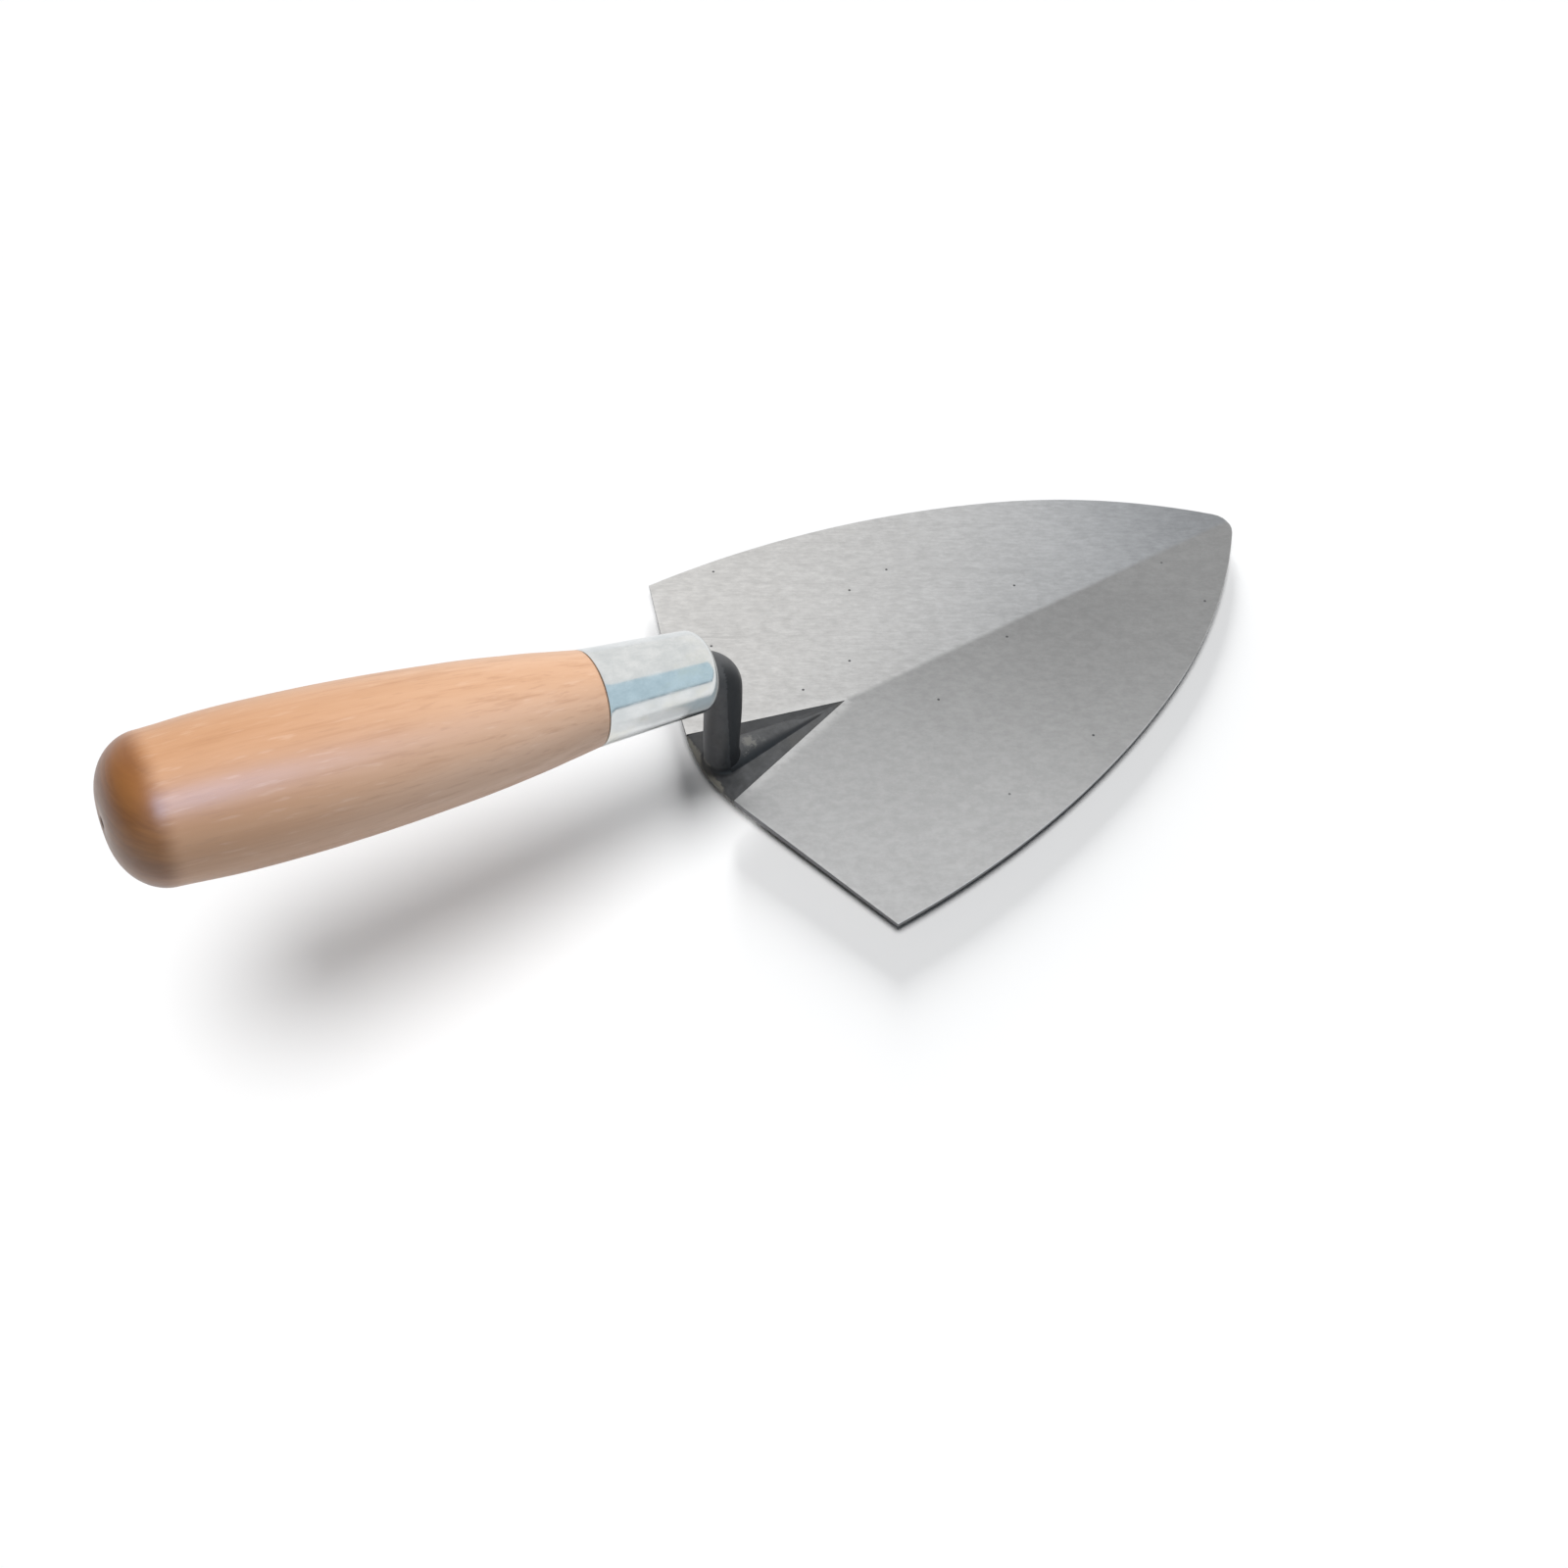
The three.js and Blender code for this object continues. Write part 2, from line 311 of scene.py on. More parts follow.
def inset_loop(loop, distances):
    """Moves each point of a clockwise plan loop inwards, with mitred corners."""
    sharpest = 0.35  # keeps a sharp corner from moving too far
    moved = []
    for k, (point, distance) in enumerate(zip(loop, distances)):
        before = (point - loop[k - 1]).normalized()
        after = (loop[(k + 1) % len(loop)] - point).normalized()
        normal = Vector((before.y + after.y, -before.x - after.x))
        normal.normalize()
        stretch = max(sharpest, normal.dot(Vector((before.y, -before.x))))
        moved.append(point + normal * distance / stretch)
    return moved


def half_grid(side, steps, apex_step, shares):
    """Plan points of one half as if it were on +Y, in rows from its inner edge to its side."""
    pairs = zip(middle_points(side, steps, apex_step), side_points(steps))
    grid = [[inner.lerp(outer, share) for share in shares] for inner, outer in pairs]
    for point in grid[0]:
        point.x = heel_arc_x(point.y)
    return grid


def mirrored(point):
    """A plan point on the other side of the middle line."""
    return Vector((point.x, -point.y))


def rim_order(steps, apex_step, across):
    """Grid places along one half's rim: from the root's point, round the heel, to the tip."""
    order = [(i, 0) for i in range(apex_step, -1, -1)]
    order += [(0, j) for j in range(1, across + 1)]
    return order + [(i, across) for i in range(1, steps + 1)]


def rounded_edge(loop, inner, rounding):
    """Rings over the blade's edge, from the ground faces down to the underside."""

    def ring(inset, lift, from_top):
        """Inset and lift are shares of the rounding, measured from the side and the face."""
        moved = inset_loop(loop, [inset * r for r in rounding])
        points = []
        for p, q, r in zip(moved, inner, rounding):
            height = top_height(q.x, q.y) - lift * r if from_top else lift * r
            points.append(HEEL + Vector((p.x, p.y, height)))
        return points

    quarter = 1 - math.sqrt(0.5)
    corner = [(1, 0), (quarter, quarter), (0, 1)]
    rings = [ring(inset, lift, True) for inset, lift in corner]
    return rings + [ring(inset, lift, False) for inset, lift in reversed(corner)]


def half_faces(grid, side, on_rim):
    """Top and underside of one half. The top is a little wavy inside its rim."""
    waves_along, waves_across = 30, 75  # per metre
    top, bottom = [], []
    for i, row in enumerate(grid):
        top.append([])
        bottom.append([])
        for j, p in enumerate(row):
            wave = 0.0
            if (i, j) not in on_rim and i < len(grid) - 1:
                spot = Vector((p.x * waves_along, side * p.y * waves_across, 3.0))
                wave = GRIND_WAVE * noise.noise(spot)
            height = top_height(p.x, p.y) + wave
            top[-1].append(HEEL + Vector((p.x, side * p.y, height)))
            bottom[-1].append(HEEL + Vector((p.x, side * p.y, 0.0)))
    return bands(top, closed=False) + bands(bottom, closed=False)


def blade_piece():
    """Both halves as a fine grid, with a rounded rim all round."""
    steps, apex_step, across = 110, 30, 20
    crowding = 1.5  # rows lie closer together towards the side
    shares = [1 - (1 - j / across) ** crowding for j in range(across + 1)]
    halves = {side: half_grid(side, steps, apex_step, shares) for side in (1, -1)}

    rim = rim_order(steps, apex_step, across)
    way_back = rim[-2:0:-1]
    loop = [halves[1][i][j].copy() for i, j in rim]
    loop += [mirrored(halves[-1][i][j]) for i, j in way_back]
    rounding = [SEAM_ROUNDING if j == 0 else EDGE_ROUNDING for i, j in rim + way_back]
    inner = inset_loop(loop, rounding)
    for (i, j), point in zip(rim, inner):
        halves[1][i][j] = point
    for (i, j), point in zip(way_back, inner[len(rim):]):
        halves[-1][i][j] = mirrored(point)
    halves[-1][apex_step][0] = mirrored(inner[0])
    for half in halves.values():
        half[steps] = [halves[1][steps][across]] * (across + 1)

    polygons = bands(rounded_edge(loop, inner, rounding))
    for side, grid in halves.items():
        polygons += half_faces(grid, side, set(rim))
    blade = mesh_object("blade_ground", polygons, crease=15)
    mark_rim(blade, [HEEL + Vector((p.x, p.y, 0)) for p in loop])
    return blade


def mark_rim(blade, loop):
    """Stores how close each point is to the outline, for the bright rim in the material: edge wear with a
    painted highlight.
    """
    parts = 4  # of each stretch between two points
    tree = kdtree.KDTree(len(loop) * parts)
    for k, point in enumerate(loop):
        for part in range(parts):
            spot = loop[k - 1].lerp(point, part / parts)
            tree.insert(Vector((spot.x, spot.y, 0)), k * parts + part)
    tree.balance()

    def closeness(point):
        distance = tree.find(Vector((point.x, point.y, 0)))[2]
        return 1 - distance / RIM_WEAR_AND_HIGHLIGHT

    mark(blade, "rim", closeness)


# ---------------------------------------------------------------- shank


def root_outline():
    """The root's outline as plan points, anticlockwise from its point, and never repeating one."""
    side_steps, heel_steps = 56, 34
    apex = Vector((ROOT_LENGTH - ROOT_GAP / math.sin(ROOT_HALF_ANGLES[1]), 0))
    corners = {side: root_corner(side) - Vector((0, ROOT_GAP)) for side in (1, -1)}
    sides = {
        side: [apex.lerp(corners[side], k / side_steps) for k in range(side_steps)]
        for side in (1, -1)
    }
    heel = []
    for k in range(heel_steps + 1):
        y = corners[1].y - (corners[1].y + corners[-1].y) * k / heel_steps
        heel.append(Vector((heel_arc_x(y), y)))
    return sides[1] + heel + [mirrored(p) for p in sides[-1][:0:-1]]


def spur_width(x):
    """Half the width of the spur's foot, or 0 past its ends."""
    along = (x - FOOT_X) / SPUR_LENGTH
    if not 0 <= along < 1:
        return 0.0
    return SPUR_HALF_WIDTH + (SPUR_TIP_HALF_WIDTH - SPUR_HALF_WIDTH) * along


def root_height(x, y):
    """Top of the root: the ground faces carried on, the spur, and the bevel at the heel."""
    fall, roundness = 1.1, 0.6  # of the spur, along it and across it
    softness = 0.25 * MM  # of the bevel's upper edge
    height = top_height(x, y) - ROOT_SINK
    if abs(y) < spur_width(x):
        along = (x - FOOT_X) / SPUR_LENGTH
        across = abs(y) / spur_width(x)
        height += SPUR_HEIGHT * (1 - along) ** fall * (1 - across ** 2) ** roundness
    bevel = BEVEL_LOW[1] + (x - BEVEL_LOW[0]) * BEVEL_SLOPE
    mean, half = (height + bevel) / 2, (height - bevel) / 2
    return mean - math.sqrt(half * half + softness ** 2)


def bezier(a, b, c, d, t):
    """The point at t on the curve from a to d, with the handles b and c."""
    s = 1 - t
    return a * s ** 3 + b * 3 * s * s * t + c * 3 * s * t * t + d * t ** 3


def shank_line():
    """Middle of the bar as (point, direction) pairs, from the ferrule down to the foot."""
    bend_steps, stem_steps = 24, 22
    ease = 0.4  # length of the stem's curve handles, as a share of its height
    turn = math.pi / 2 - GRIP_RISE
    pull = (4 / 3) * math.tan(turn / 4) * BEND_RADIUS
    reach = (TOP_X - GRIP_START_X - BEND_RADIUS * (1 - math.sin(GRIP_RISE))) / math.cos(GRIP_RISE)
    bend_end = GRIP_START - GRIP_AXIS * reach
    bend_start = Vector((HEEL.x + TOP_X, 0, bend_end.z - BEND_RADIUS * math.cos(GRIP_RISE)))
    foot = Vector((HEEL.x + FOOT_X, 0, ROOT_THICKNESS + FILLET_HEIGHT))
    up = Vector((0, 0, 1))
    lean = (bend_start.z - foot.z) * ease
    bend = (bend_end, bend_end - GRIP_AXIS * pull, bend_start + up * pull, bend_start)
    stem = (bend_start, bend_start - up * lean, foot + up * lean, foot)
    points = [bezier(*bend, k / bend_steps) for k in range(bend_steps)]
    points += [bezier(*stem, k / stem_steps) for k in range(stem_steps + 1)]
    line = []
    for k, point in enumerate(points):
        ahead = points[min(k + 1, len(points) - 1)]
        behind = points[max(k - 1, 0)]
        line.append((point, (behind - ahead).normalized()))
    line[0] = (points[0], GRIP_AXIS)
    line[-1] = (points[-1], up)
    return line


def section(centre, direction, angles, radius_at):
    """One ring across the shank. Angle 0 faces the blade's tip, and then up over the bend."""
    side = Vector((0, 1, 0))
    front = side.cross(direction)
    return [centre + (front * math.cos(a) + side * math.sin(a)) * radius_at(a) for a in angles]


def tang_rings(angles):
    """Square tapered spike, from its tip to where it meets the bar."""
    rings = [[GRIP_START + GRIP_AXIS * TANG_END] * len(angles)]
    point_length = 0.2 * MM
    stations = [TANG_END - point_length, 80 * MM, 60 * MM, 40 * MM, 20 * MM, 8 * MM, 5 * MM]
    squareness = 8  # 2 would be round
    for along in stations:
        share = along / TANG_END
        corner = TANG_RADIUS + (TANG_TIP_RADIUS - TANG_RADIUS) * share

        def radius_at(a):
            powers = math.cos(a) ** squareness + math.sin(a) ** squareness
            return corner / math.sqrt(2) / powers ** (1 / squareness)

        rings.append(section(GRIP_START + GRIP_AXIS * along, GRIP_AXIS, angles, radius_at))
    return rings


def bar_rings(angles):
    """The round bar through its bend, narrowing a little towards its foot."""
    waves_around, waves_along = 1.3, 55
    line = shank_line()
    rings = []
    for k, (point, direction) in enumerate(line):
        share = k / (len(line) - 1)
        radius = BAR_RADIUS + (BAR_FOOT_RADIUS - BAR_RADIUS) * share ** 2

        def radius_at(a):
            place = Vector((math.cos(a), math.sin(a), point.z * waves_along))
            return radius + BAR_UNEVENNESS * noise.noise(place * waves_around)

        rings.append(section(point, direction, angles, radius_at))
    return rings


def foot_rings(outline, angles):
    """From the foot of the bar, over its fillet and across the root to the outline."""
    foot = Vector((FOOT_X, 0))
    rings = []
    fillet_steps, plate_steps = 9, 26
    mean_width, front_width = 1.25, 0.45  # the fillet is wider in front than behind
    most_width = 0.75  # of the room between the bar and the outline
    scale_waves = 420  # per metre
    for k in range(1, fillet_steps + plate_steps + 1):
        ring = []
        for edge, angle in zip(outline, angles):
            ray = Vector((math.cos(angle), math.sin(angle)))
            reach = (edge - foot).length - SEAM_ROUNDING
            width = min(FILLET_WIDTH * (mean_width + front_width * ray.x),
                        most_width * (reach - BAR_FOOT_RADIUS))
            lift = 0.0
            if k <= fillet_steps:
                t = k / fillet_steps * math.pi / 2
                distance = BAR_FOOT_RADIUS + width * (1 - math.cos(t))
                lift = (1 - math.sin(t)) * FILLET_HEIGHT
            else:
                share = (k - fillet_steps) / plate_steps
                start = BAR_FOOT_RADIUS + width
                distance = start + (reach - start) * share
            p = foot + ray * distance
            flat = root_height(p.x, p.y)
            base = flat + (ROOT_THICKNESS - flat) * (lift / FILLET_HEIGHT) ** 2
            scale = SCALE_UNEVENNESS * noise.noise(Vector((p.x, p.y, 0)) * scale_waves)
            ring.append(HEEL + Vector((p.x, p.y, base + lift + scale)))
        rings.append(ring)
    return rings


def shank_piece():
    """One forging in rings: the tang, the bar, the root and the underside."""
    outline = root_outline()
    foot = Vector((FOOT_X, 0))
    angles = [math.atan2(p.y, p.x - foot.x) for p in outline]
    rings = tang_rings(angles) + bar_rings(angles) + foot_rings(outline, angles)

    def rim(distance, height):
        ring = []
        for edge in outline:
            p = edge - (edge - foot).normalized() * distance
            ring.append(HEEL + Vector((p.x, p.y, height(root_height(edge.x, edge.y)))))
        return ring

    rings.append(rim(0, lambda top: top - SEAM_ROUNDING))
    rings.append(rim(0, lambda top: SEAM_ROUNDING))
    rings.append(rim(SEAM_ROUNDING, lambda top: 0.0))
    rings.append([HEEL + Vector((FOOT_X, 0, 0))] * len(outline))
    shank = mesh_object("shank_forged", bands(rings), crease=35)
    mark_root(shank)
    return shank


def mark_root(shank):
    """Stores painted shade for each point, by the bar's foot and along the spur and most on the near
    side, and its height on the spur's crest for light spots of rubbing and painted glints.
    """
    beside_reach, foot_width, foot_height = 0.4 * MM, 2.2 * MM, 3.0 * MM
    onto_spur = 0.75  # share of the spur's half width that the painted shade climbs
    plate_height = 0.5 * MM
    far_plate_shade, far_spur_shade = 0.4, 0.3  # painted shade on the far side: some over its low plate, less beside the spur

    # Painted shade: darkest by the bar's foot and beside the spur, most on the near side
    def crease(point):
        x, y = point.x - HEEL.x, abs(point.y)
        above = point.z - top_height(x, y)
        from_foot = abs(math.hypot(x - FOOT_X, y) - BAR_FOOT_RADIUS)
        beside = y - spur_width(x)
        reach = beside_reach if beside > 0 else onto_spur * spur_width(x)
        near_spur = 1 - abs(beside) / reach if spur_width(x) > 0 else 0.0
        near_foot = min(1 - from_foot / foot_width, 1 - above / foot_height)
        far_side = far_plate_shade if point.y > 0 and above < plate_height else 0.0
        return max(far_side, near_foot, near_spur * (1.0 if point.y < 0 else far_spur_shade))

    # Height on the spur's crest, for light spots of rubbing and painted glints
    def rub_and_glint(point):
        x, y = point.x - HEEL.x, abs(point.y)
        on_spur = x > FOOT_X + BAR_FOOT_RADIUS and y < spur_width(x)
        return (point.z - top_height(x, y)) / SPUR_HEIGHT if on_spur else 0.0

    mark(shank, "crease", crease)
    mark(shank, "rub_and_glint", rub_and_glint)


# ---------------------------------------------------------------- ferrule and handle


def ferrule_piece():
    """Drawn cup with a rounded front, a hole for the shank and a plain rear edge."""
    taper = (FERRULE_REAR - FERRULE_FRONT) / FERRULE_LENGTH
    shoulder_x = FERRULE_FRONT + taper * FERRULE_SHOULDER - FERRULE_SHOULDER
    lip = 0.3 * MM
    outer = arc((FERRULE_HOLE + lip, lip), lip, 180, 270, 4)
    outer += arc((shoulder_x, FERRULE_SHOULDER), FERRULE_SHOULDER, -90, 0, 16)
    side_steps = 24
    for k in range(1, side_steps):
        along = FERRULE_SHOULDER + (FERRULE_LENGTH - lip - FERRULE_SHOULDER) * k / side_steps
        outer.append((FERRULE_FRONT + taper * along, along))
    outer += arc((FERRULE_REAR - lip, FERRULE_LENGTH - lip), lip, 0, 90, 4)
    inner_radius = FERRULE_SHOULDER - FERRULE_WALL
    inner = [(FERRULE_REAR - FERRULE_WALL, FERRULE_LENGTH)]
    inner += arc((shoulder_x, FERRULE_SHOULDER), inner_radius, 0, -90, 8)
    inner.append((FERRULE_HOLE, FERRULE_WALL))
    profile = outer + inner
    profile.append(profile[0])
    return lathe("ferrule_plated", profile, wobble=0.035 * MM)


def handle_piece():
    """Turned grip with its tenon in the ferrule, the bore for the tang, a domed butt and centre mark."""
    wall = FERRULE_WALL + HANDLE_GAP
    bore_end = TANG_END + 1 * MM
    tenon_front, tenon_chamfer = 5.3 * MM, 1 * MM
    shoulder_gap, shoulder_chamfer = 0.12 * MM, 0.13 * MM
    face_inset, rim_inset = 0.5 * MM, 0.12 * MM  # in from the ferrule's outside
    bore = [(TANG_TIP_RADIUS + BORE_GAP, bore_end), (TANG_RADIUS + BORE_GAP, tenon_front)]
    tenon = [
        (FERRULE_FRONT - wall - tenon_chamfer, tenon_front),
        (FERRULE_FRONT - wall, tenon_front + tenon_chamfer),
        (FERRULE_REAR - wall, FERRULE_LENGTH + shoulder_gap),
        (FERRULE_REAR - face_inset, FERRULE_LENGTH + shoulder_gap),
        (FERRULE_REAR - rim_inset, FERRULE_LENGTH + shoulder_gap + shoulder_chamfer),
    ]
    belly = [(radius * MM, along * MM) for along, radius in smooth_curve(BELLY, 14)]
    cap = []
    cap_steps = 26
    for k in range(1, cap_steps + 1):
        angle = math.pi / 2 * k / cap_steps
        cap.append((
            BUTT_FLAT + (CAP_RADIUS - BUTT_FLAT) * math.cos(angle),
            CAP_START + (HANDLE_END - CAP_START) * math.sin(angle),
        ))
    lip_width, lip_depth = 0.25 * MM, 0.1 * MM
    centre_mark = [
        (MARK_RADIUS + lip_width, HANDLE_END),
        (MARK_RADIUS, HANDLE_END - lip_depth),
        (0.0, HANDLE_END - MARK_DEPTH),
    ]
    profile = [(0.0, bore_end)] + bore + tenon + belly + cap + centre_mark
    return lathe("handle_turned", profile, wobble=0.05 * MM)


# ---------------------------------------------------------------- material helpers


def add(tree, kind, inputs=None, **settings):
    """A node with its settings, and its inputs fed by values or by other nodes' outputs."""
    node = tree.nodes.new(kind)
    for key, value in settings.items():
        setattr(node, key, value)
    for key, value in (inputs or {}).items():
        if isinstance(value, bpy.types.NodeSocket):
            tree.links.new(value, node.inputs[key])
        else:
            node.inputs[key].default_value = value
    return node


def new_material(name):
    """A material with its node tree and its shader."""
    material = bpy.data.materials.new(name)
    material.use_nodes = True
    tree = material.node_tree
    shader = tree.nodes["Principled BSDF"]
    return material, tree, shader


def row_place(tree):
    """The point in the shared frame."""
    return add(tree, "ShaderNodeTexCoord").outputs["Object"]


def turned_place(tree, turn):
    """The point in the shared frame, turned about Z."""
    inputs = {"Vector": row_place(tree), "Angle": turn}
    return add(tree, "ShaderNodeVectorRotate", inputs, rotation_type="Z_AXIS").outputs[0]


def grip_place(tree):
    """The point in the handle's own frame: X up from the handle, Z back along its axis."""
    place = row_place(tree)
    inputs = {"Vector": place, "Center": GRIP_START, "Angle": math.pi / 2 - GRIP_RISE}
    turned = add(tree, "ShaderNodeVectorRotate", inputs, rotation_type="Y_AXIS").outputs[0]
    return add(tree, "ShaderNodeVectorMath", {0: turned, 1: GRIP_START}, operation="SUBTRACT").outputs[0]


def stretched(tree, place, scale):
    """The point with each coordinate times its own scale, in waves per metre."""
    return add(tree, "ShaderNodeVectorMath", {0: place, 1: scale}, operation="MULTIPLY").outputs[0]


def grain(tree, vector, detail=3.0, roughness=0.55, distortion=0.0):
    """Cloudy noise between 0 and 1, mostly near 0.5."""
    inputs = {"Vector": vector, "Scale": 1.0, "Detail": detail,
              "Roughness": roughness, "Distortion": distortion}
    return add(tree, "ShaderNodeTexNoise", inputs).outputs["Fac"]


def remap(tree, value, low, high, to_low=0.0, to_high=1.0):
    """Eases from to_low to to_high while value goes from low to high."""
    inputs = {"Value": value, "From Min": low, "From Max": high, "To Min": to_low, "To Max": to_high}
    return add(tree, "ShaderNodeMapRange", inputs, interpolation_type="SMOOTHSTEP").outputs[0]


def math_of(tree, operation, a, b=0.0):
    """Sum, difference or product of two numbers."""
    return add(tree, "ShaderNodeMath", {0: a, 1: b}, operation=operation).outputs[0]


def mix(tree, factor, a, b):
    """Colour a where factor is 0 and b where it is 1."""
    rgba = [c if isinstance(c, bpy.types.NodeSocket) else (*c, 1.0) for c in (a, b)]
    return add(tree, "ShaderNodeMix", {0: factor, 6: rgba[0], 7: rgba[1]}, data_type="RGBA").outputs[2]


def mix_value(tree, factor, a, b):
    """Number a where factor is 0 and b where it is 1."""
    return add(tree, "ShaderNodeMix", {0: factor, 2: a, 3: b}).outputs[0]


def dimmed(tree, colour, amount):
    """The colour times a number."""
    return add(tree, "ShaderNodeVectorMath", {0: colour, "Scale": amount}, operation="SCALE").outputs[0]


def attribute(tree, name):
    """A number that mark() stored on the mesh."""
    return add(tree, "ShaderNodeAttribute", attribute_name=name).outputs["Fac"]


def bump(tree, height, strength, distance, normal=None):
    """A normal that follows height, on top of another normal if one is given."""
    inputs = {"Height": height, "Strength": strength, "Distance": distance}
    if normal is not None:
        inputs["Normal"] = normal
    return add(tree, "ShaderNodeBump", inputs).outputs[0]


def feed(tree, shader, **sockets):
    """Sets the shader's sockets, named with underscores, to values or to nodes' outputs."""
    for name, value in sockets.items():
        socket = shader.inputs[name.replace("_", " ")]
        if isinstance(value, bpy.types.NodeSocket):
            tree.links.new(value, socket)
        else:
            socket.default_value = value


# ---------------------------------------------------------------- materials


def painted_shade_and_reflection(tree, x, y, far_half):
    """Painted shade and reflection: the near half darker than the far half, both darkening towards the
    tip and the ridge, each in its own way.
    """
    slanted = math_of(tree, "ADD", math_of(tree, "MULTIPLY", x, 0.66), math_of(tree, "MULTIPLY", y, 0.75))
    near_tone = mix(tree, remap(tree, slanted, -0.052, 0.072),
                    (0.51, 0.512, 0.518), (0.295, 0.296, 0.298))
    along = math_of(tree, "SUBTRACT", x, math_of(tree, "MULTIPLY", y, 0.8))
    far_tone = mix(tree, remap(tree, along, -0.075, 0.20), (0.675, 0.665, 0.655), (0.38, 0.395, 0.42))
    far_tone = mix(tree, remap(tree, x, 0.11, 0.19), far_tone, (0.29, 0.30, 0.315))
    far_tone = dimmed(tree, far_tone, remap(tree, y, 0.0, 0.024, 0.95, 1.0))
    return mix(tree, far_half, near_tone, far_tone)


def pits(tree, place):
    """Sparse round pits: 1 in a pit and 0 elsewhere."""
    cells = add(tree, "ShaderNodeTexVoronoi", {"Vector": place, "Scale": 62, "Randomness": 1.0},
                voronoi_dimensions="2D")
    chance = add(tree, "ShaderNodeSeparateColor", {0: cells.outputs["Color"]}).outputs[0]
    return math_of(tree, "MULTIPLY", remap(tree, cells.outputs["Distance"], 0.032, 0.018),
                   remap(tree, chance, 0.80, 0.84))


def rim_wear_highlight_and_shade(tree, tone, mottle):
    """The tone with a bright strip along the outline, edge wear with a painted highlight, and painted
    shade where it doesn't face up.
    """
    # A bright strip along the rim: edge wear with a painted highlight
    wear_and_highlight = math_of(tree, "MULTIPLY", remap(tree, attribute(tree, "rim"), 0.25, 0.8),
                   remap(tree, mottle, 0.2, 0.55))
    tone = mix(tree, math_of(tree, "MULTIPLY", wear_and_highlight, 0.35), tone, (0.75, 0.75, 0.75))
    # Painted shade on faces that don't face up
    normal = add(tree, "ShaderNodeTexCoord").outputs["Normal"]
    upward = add(tree, "ShaderNodeSeparateXYZ", {0: normal}).outputs["Z"]
    return mix(tree, remap(tree, upward, 0.6, 0.2), tone, (0.16, 0.16, 0.165))


def ground_steel():
    """Belt-ground steel: a streaked far half, a mottled near half with painted shade, pits, and edges
    with wear and a painted highlight.
    """
    material, tree, shader = new_material("ground_steel")
    place = row_place(tree)
    belted = turned_place(tree, math.radians(31))
    streaks = grain(tree, stretched(tree, belted, (260, 1000, 1000)), detail=4, roughness=0.7)
    long_streaks = grain(tree, stretched(tree, belted, (22, 520, 520)), detail=3, roughness=0.6)
    mottle = grain(tree, stretched(tree, belted, (260, 420, 420)), detail=5, roughness=0.75)
    clouds = grain(tree, stretched(tree, place, (16, 16, 16)), detail=2)

    axes = add(tree, "ShaderNodeSeparateXYZ", {0: place})
    x, y = axes.outputs["X"], axes.outputs["Y"]
    far_half = remap(tree, y, -0.0010, 0.0010)
    # Painted shade and reflection across the two halves
    tone = painted_shade_and_reflection(tree, x, y, far_half)
    tone = dimmed(tree, tone, remap(tree, mottle, 0.3, 0.72, 0.915, 1.07))
    for marks in (remap(tree, streaks, 0.3, 0.72, 0.91, 1.06),
                  remap(tree, long_streaks, 0.54, 0.75, 1.0, 0.92)):
        tone = dimmed(tree, tone, mix_value(tree, far_half, 1.0, marks))
    tone = dimmed(tree, tone, remap(tree, clouds, 0.35, 0.7, 1.02, 0.97))
    pit = pits(tree, place)
    tone = mix(tree, pit, tone, (0.10, 0.10, 0.105))
    tone = rim_wear_highlight_and_shade(tree, tone, mottle)

    height = math_of(tree, "ADD", math_of(tree, "MULTIPLY", streaks, 0.7),
                     math_of(tree, "MULTIPLY", mottle, 0.3))
    fine = bump(tree, height, 0.28, 0.00004)
    feed(tree, shader, Base_Color=tone, Metallic=0.9,
         Roughness=remap(tree, streaks, 0.2, 0.8, 0.34, 0.46),
         Normal=bump(tree, pit, -0.8, 0.0002, fine))
    return material


